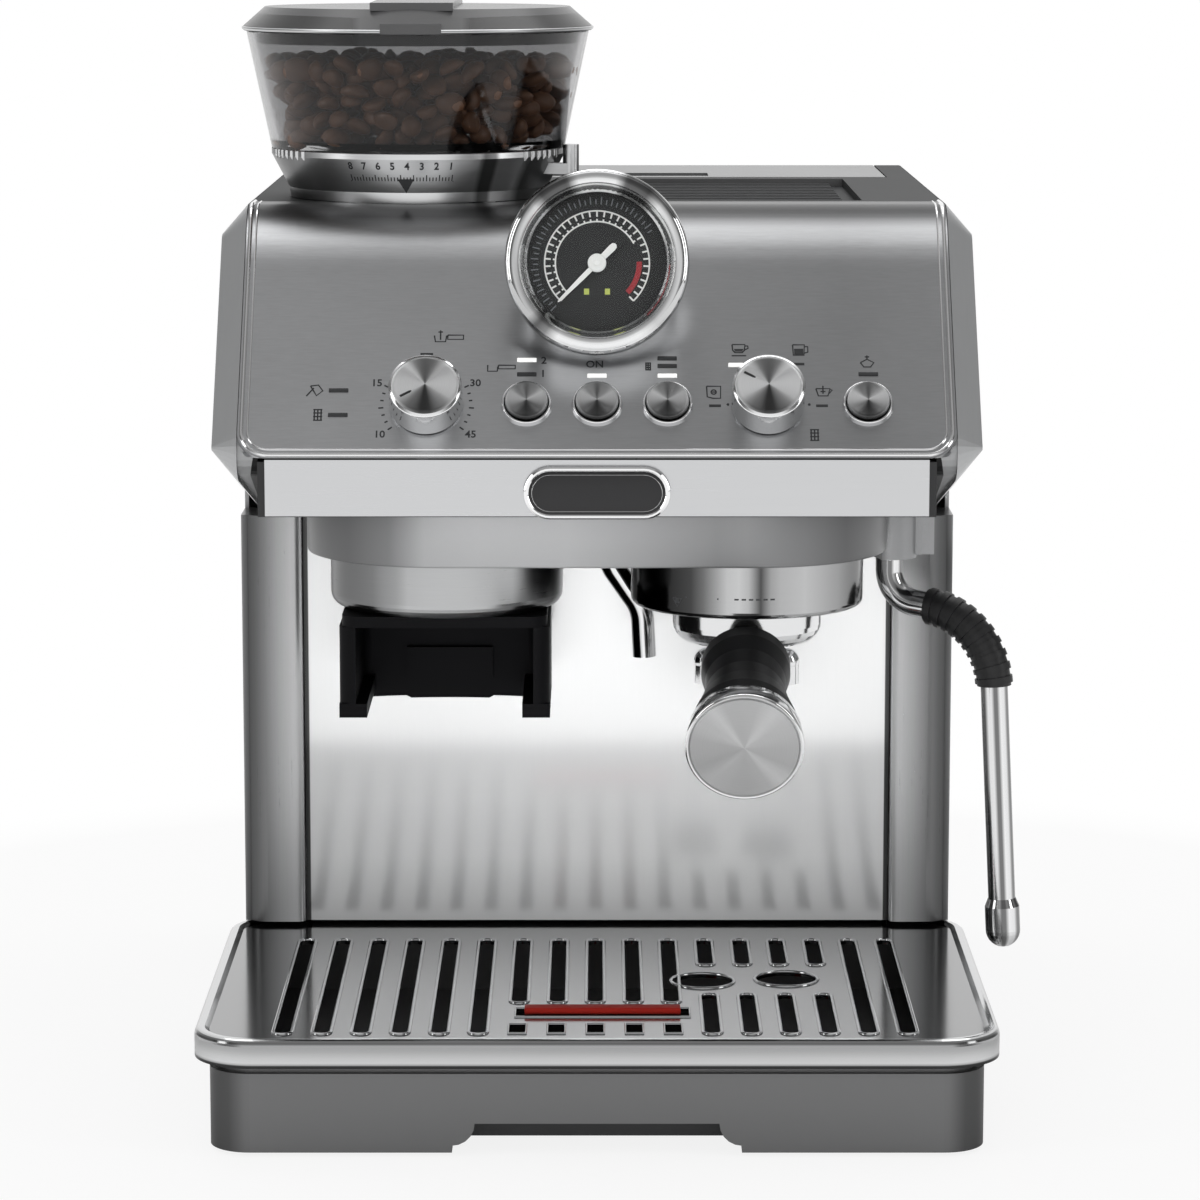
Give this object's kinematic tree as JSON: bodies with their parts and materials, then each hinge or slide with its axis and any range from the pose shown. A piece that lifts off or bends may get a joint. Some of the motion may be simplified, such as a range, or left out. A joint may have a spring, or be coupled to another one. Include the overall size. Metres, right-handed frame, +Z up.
{
  "type": "espresso machine",
  "caption": "Countertop espresso machine: grinder and bean hopper left, bayonet group and portafilter right, steam wand, round gauge, tilted control panel, slide-out drip tray, rear water tank.",
  "frame": {"origin": "centre of the footprint's bounding box, on the counter under the feet", "axes": "+X to the user's right, +Y from the user towards the rear of the machine, +Z up"},
  "size_m": [0.2998, 0.365, 0.4],
  "materials": {
    "base_plastic": "fine textured black plastic",
    "foot_rubber": "moulded rubber",
    "column_grey": "satin metallic grey paint",
    "mirror_steel": "polished stainless sheet",
    "tray_steel": "polished stainless plate",
    "frame_metal": "satin chrome",
    "brushed_panel": "horizontally brushed",
    "badge_black": "gloss black",
    "skirt_grey": "metallic grey moulding",
    "chrome": "bright chrome",
    "dial_black": "printed matte dial",
    "clear_glass": "clear lens",
    "needle_white": "white enamel",
    "lamp_white": "lit diffuser",
    "spun_metal": "spun face",
    "board_green": "solder mask",
    "satin_metal": "satin",
    "black_plastic": "satin black moulding",
    "grip_rubber": "ribbed rubber",
    "cast_alloy": "cast",
    "pump_body": "moulded",
    "burr_steel": "hardened steel",
    "smoky_clear": "smoke tinted clear plastic",
    "beans": "roasted beans",
    "float_red": "red",
    "tank_clear": "smoke tinted clear plastic"
  },
  "bodies": {
    "machine": {"base_pan": "base_plastic", "feet": "foot_rubber", "side_panel_left": "column_grey", "side_panel_right": "column_grey", "back_panel": "base_plastic", "splash_plate": "mirror_steel", "cheek_left": "frame_metal", "cheek_right": "frame_metal", "head_chassis": "base_plastic", "front_panel": "brushed_panel", "fascia_strip": "mirror_steel", "badge_plate": "badge_black", "lower_skirt": "skirt_grey", "top_cover": "brushed_panel", "cup_warmer_plate": "brushed_panel", "gauge_housing": "chrome", "gauge_dial": "dial_black", "gauge_glass": "clear_glass", "button_bezels": "chrome", "indicator_lights": "lamp_white", "control_board": "board_green", "group_housing": "chrome", "group_gasket": "foot_rubber", "shower_screen": "chrome", "grinder_collar": "satin_metal", "portafilter_fork": "black_plastic", "hot_water_spout": "chrome", "wand_socket": "base_plastic", "thermoblock": "cast_alloy", "pump": "pump_body", "solenoid_valve": "base_plastic", "grinder_motor": "base_plastic", "power_inlet": "black_plastic", "screws": "brushed_panel"},
    "gauge_needle": {"gauge_needle": "needle_white"},
    "dose_knob": {"dose_knob": "spun_metal"},
    "mode_knob": {"mode_knob": "spun_metal"},
    "cup_button": {"cup_button": "spun_metal"},
    "power_button": {"power_button": "spun_metal"},
    "rinse_button": {"rinse_button": "spun_metal"},
    "steam_button": {"steam_button": "spun_metal"},
    "power_switch": {"power_switch": "badge_black"},
    "portafilter": {"portafilter_body": "chrome", "filter_basket": "chrome", "portafilter_spouts": "chrome", "portafilter_grip": "black_plastic", "grip_cap": "spun_metal"},
    "steam_wand": {"wand_tube": "chrome", "wand_grip": "grip_rubber"},
    "drip_tray": {"drip_tray": "skirt_grey", "tray_plate": "tray_steel"},
    "level_float": {"level_float": "float_red"},
    "water_tank": {"water_tank": "tank_clear"},
    "tank_lid": {"tank_lid": "brushed_panel"},
    "hopper": {"hopper_bowl": "smoky_clear", "coffee_beans": "beans"},
    "hopper_lid": {"hopper_lid": "black_plastic"},
    "grind_ring": {"grind_ring": "satin_metal", "upper_burr": "burr_steel"},
    "lower_burr": {"lower_burr": "burr_steel"}
  },
  "joints": [
    {"name": "gauge_needle_swing", "type": "hinge", "parent": "machine", "child": "gauge_needle", "pos_m": [-0.0074, -0.11515, 0.30926], "axis": [0, 0.9848, -0.1736], "range_deg": [0, 270]},
    {"name": "dose_dial_turn", "type": "hinge", "parent": "machine", "child": "dose_knob", "pos_m": [-0.0679, -0.12533, 0.25999], "axis": [0, 0.788, -0.6157], "range_deg": [-15, 255]},
    {"name": "mode_dial_turn", "type": "hinge", "parent": "machine", "child": "mode_knob", "pos_m": [0.0531, -0.12533, 0.25999], "axis": [0, 0.788, -0.6157], "range_deg": [-30, 210]},
    {"name": "cup_button_press", "type": "slide", "parent": "machine", "child": "cup_button", "axis": [0, 0.788, -0.6157], "range_m": [0, 0.0012], "stiffness_N_per_m": 500},
    {"name": "power_button_press", "type": "slide", "parent": "machine", "child": "power_button", "axis": [0, 0.788, -0.6157], "range_m": [0, 0.0012], "stiffness_N_per_m": 500},
    {"name": "rinse_button_press", "type": "slide", "parent": "machine", "child": "rinse_button", "axis": [0, 0.788, -0.6157], "range_m": [0, 0.0012], "stiffness_N_per_m": 500},
    {"name": "steam_button_press", "type": "slide", "parent": "machine", "child": "steam_button", "axis": [0, 0.788, -0.6157], "range_m": [0, 0.0012], "stiffness_N_per_m": 500},
    {"name": "power_switch_rock", "type": "hinge", "parent": "machine", "child": "power_switch", "pos_m": [0.0846, 0.1785, 0.034], "axis": [1, 0, 0], "range_deg": [-8, 8]},
    {"name": "portafilter_lock", "type": "hinge", "parent": "machine", "child": "portafilter", "pos_m": [0.0476, -0.08, 0.182], "axis": [0, 0, 1], "range_deg": [-38, 0]},
    {"name": "steam_wand_swivel", "type": "hinge", "parent": "machine", "child": "steam_wand", "pos_m": [0.1011, -0.06, 0.2], "axis": [0, 0, 1], "range_deg": [-70, 15]},
    {"name": "drip_tray_pull", "type": "slide", "parent": "machine", "child": "drip_tray", "axis": [0, -1, 0], "range_m": [0, 0.2]},
    {"name": "level_float_rise", "type": "slide", "parent": "drip_tray", "child": "level_float", "axis": [0, 0, 1], "range_m": [0, 0.008]},
    {"name": "water_tank_lift", "type": "slide", "parent": "machine", "child": "water_tank", "axis": [0, 0, 1], "range_m": [0, 0.28]},
    {"name": "tank_lid_open", "type": "hinge", "parent": "water_tank", "child": "tank_lid", "pos_m": [-0.0074, 0.1785, 0.325], "axis": [-1, 0, 0], "range_deg": [0, 85]},
    {"name": "hopper_lift", "type": "slide", "parent": "machine", "child": "hopper", "axis": [0, 0, 1], "range_m": [0, 0.1]},
    {"name": "hopper_lid_lift", "type": "slide", "parent": "hopper", "child": "hopper_lid", "axis": [0, 0, 1], "range_m": [0, 0.05]},
    {"name": "grind_ring_turn", "type": "hinge", "parent": "machine", "child": "grind_ring", "pos_m": [-0.0744, -0.018, 0.327], "axis": [0, 0, 1], "range_deg": [-30, 30]},
    {"name": "burr_spin", "type": "hinge", "parent": "machine", "child": "lower_burr", "pos_m": [-0.0744, -0.018, 0.267], "axis": [0, 0, 1], "continuous": true}
  ]
}
